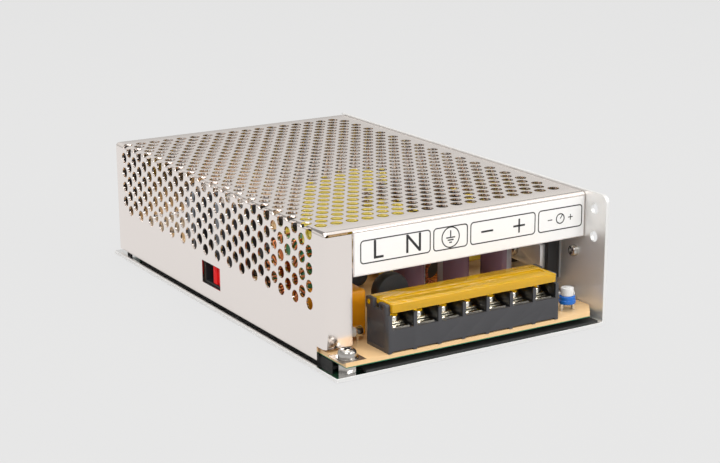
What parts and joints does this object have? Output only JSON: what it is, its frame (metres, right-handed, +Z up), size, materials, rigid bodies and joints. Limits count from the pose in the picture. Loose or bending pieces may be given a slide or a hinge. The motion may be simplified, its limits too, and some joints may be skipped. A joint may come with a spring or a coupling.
{
  "type": "enclosed power supply",
  "caption": "Enclosed switch-mode power supply in a folded perforated metal case, with a barrier terminal block under a clear hinged lid.",
  "frame": {"origin": "middle of the base's underside", "axes": "+X towards the solid right wall, +Y from the terminals to the rear, +Z up"},
  "size_m": [0.098, 0.16, 0.042],
  "materials": {
    "bare_sheet": "brushed",
    "cover_sheet": "satin",
    "steel": "plated",
    "label": "printed film",
    "clear_film": "clear yellow film",
    "black_sheet": "matte",
    "laminate": "printed board",
    "block_plastic": "moulded",
    "nickel": "plated",
    "amber": "clear",
    "blue_plastic": "moulded",
    "white_plastic": "moulded",
    "red_plastic": "moulded",
    "black_plastic": "moulded",
    "ceramic": "glazed ceramic",
    "film_box": "moulded",
    "grey_disc": "coated ceramic",
    "green_core": "coated ferrite",
    "copper": "enamelled wire",
    "black_sleeve": "shrink sleeve",
    "brown_sleeve": "shrink sleeve",
    "ferrite": "ferrite",
    "yellow_tape": "tape",
    "moulded_black": "moulded",
    "grey_pad": "silicone pad",
    "tinned": "tinned",
    "resistor_coat": "lacquered",
    "blue_disc": "coated ceramic"
  },
  "bodies": {
    "case": {"chassis": "bare_sheet", "cover": "cover_sheet", "cover_screws": "steel", "front_label": "label", "insulating_film": "clear_film", "insulation_sheet": "black_sheet", "circuit_board": "laminate", "spacers": "steel", "board_washers": "steel", "board_screws": "steel", "terminal_housing": "block_plastic", "terminal_contacts": "nickel", "clamp_plates": "nickel", "terminal_screws": "nickel", "trimmer_legs": "tinned", "trimmer_body": "blue_plastic", "selector_body": "black_plastic", "fuse_body": "ceramic", "fuse_ends": "nickel", "film_capacitor": "film_box", "thermistor_disc": "grey_disc", "thermistor_leads": "tinned", "input_choke_core": "green_core", "input_choke_windings": "copper", "output_choke_core": "green_core", "output_choke_winding": "copper", "output_capacitors": "brown_sleeve", "bulk_capacitors": "black_sleeve", "transformer_core": "ferrite", "transformer_winding": "yellow_tape", "drive_transformer_core": "ferrite", "drive_transformer_winding": "yellow_tape", "bridge_rectifier": "moulded_black", "bridge_leads": "tinned", "control_chip": "moulded_black", "resistors": "resistor_coat", "ceramic_capacitors": "blue_disc", "device_pads": "grey_pad", "power_devices": "moulded_black", "device_leads": "tinned", "clamp_bars": "bare_sheet", "clamp_screws": "steel", "wall_screw": "steel", "wire_link": "tinned"},
    "lid": {"terminal_lid": "amber"},
    "rotor": {"trimmer_rotor": "white_plastic"},
    "slider": {"selector_slider": "red_plastic"}
  },
  "joints": [
    {"name": "lid_hinge", "type": "hinge", "parent": "case", "child": "lid", "pos_m": [-0.00082, -0.0691, 0.0187], "axis": [-1, 0, 0], "range_deg": [0, 70]},
    {"name": "rotor_turn", "type": "hinge", "parent": "case", "child": "rotor", "pos_m": [0.03825, -0.074, 0.0102], "axis": [0, 0, 1], "range_deg": [-130, 130]},
    {"name": "slider_travel", "type": "slide", "parent": "case", "child": "slider", "axis": [0, 1, 0], "range_m": [0, 0.005]}
  ]
}
